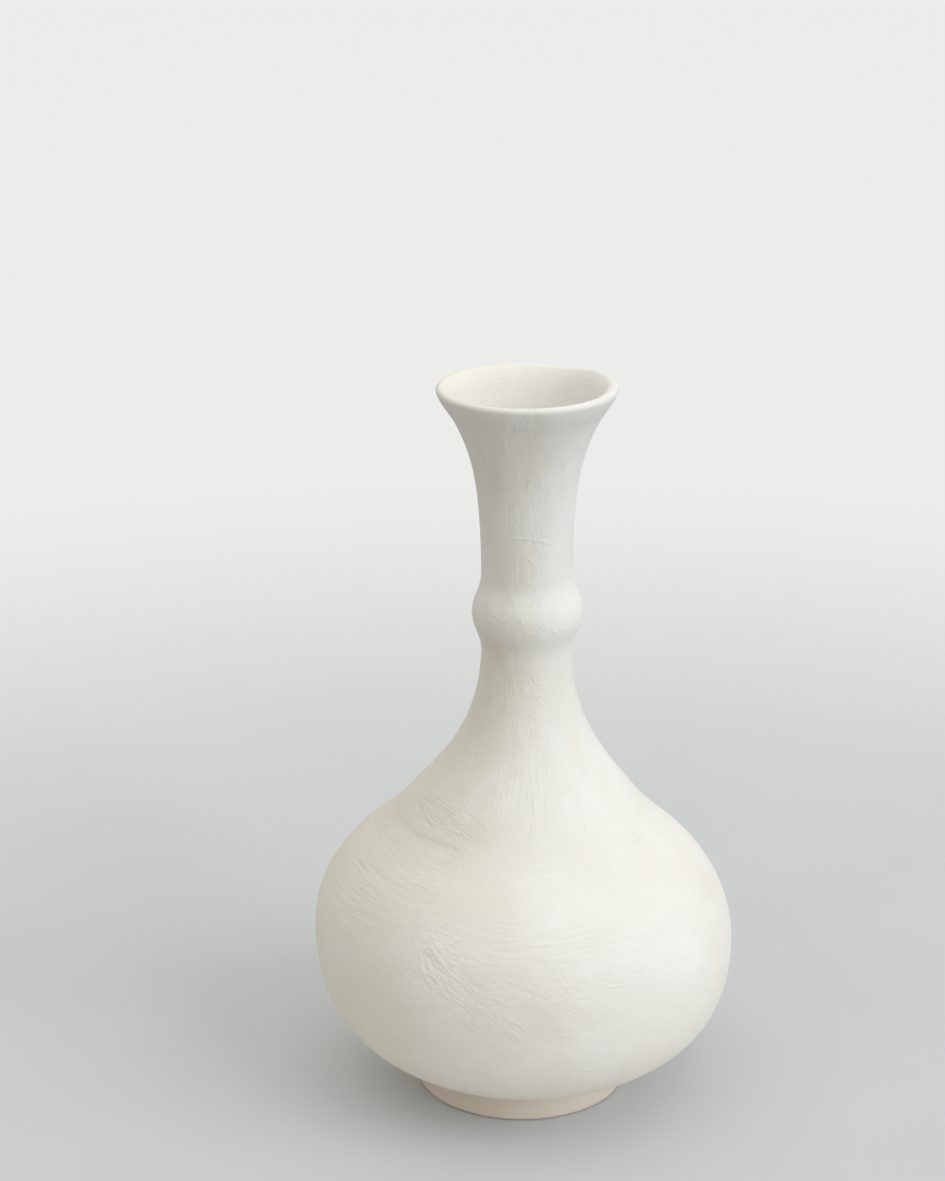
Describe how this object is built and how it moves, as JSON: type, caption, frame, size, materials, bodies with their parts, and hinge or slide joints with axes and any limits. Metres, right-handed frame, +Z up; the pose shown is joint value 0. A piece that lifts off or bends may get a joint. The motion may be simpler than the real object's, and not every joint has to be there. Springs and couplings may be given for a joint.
{
  "type": "bottle vase",
  "caption": "Round-bellied bisque bottle vase with a knopped neck, flared mouth and bare foot ring, under a white brushed coat; holds stems upright.",
  "frame": {"origin": "middle of the foot's underside, on the surface that the vase stands on", "axes": "+Z up along the turning axis; the vase is round, so +X and +Y only fix a front and a side"},
  "size_m": [0.1726, 0.1726, 0.3],
  "materials": {
    "bare_bisque": "matte, unglazed, pinkish beige",
    "dried_slip": "matte, smooth slip",
    "brushed_white": "matte, brushed, warm white"
  },
  "bodies": {
    "root": {"foot_ring": "bare_bisque", "body_bowl": "bare_bisque", "neck_cone": "bare_bisque", "neck_knop": "bare_bisque", "trumpet_neck": "bare_bisque", "foot_slip": "dried_slip", "shoulder_slip": "dried_slip", "lower_knop_slip": "dried_slip", "upper_knop_slip": "dried_slip", "brushed_coat": "brushed_white"}
  },
  "joints": []
}
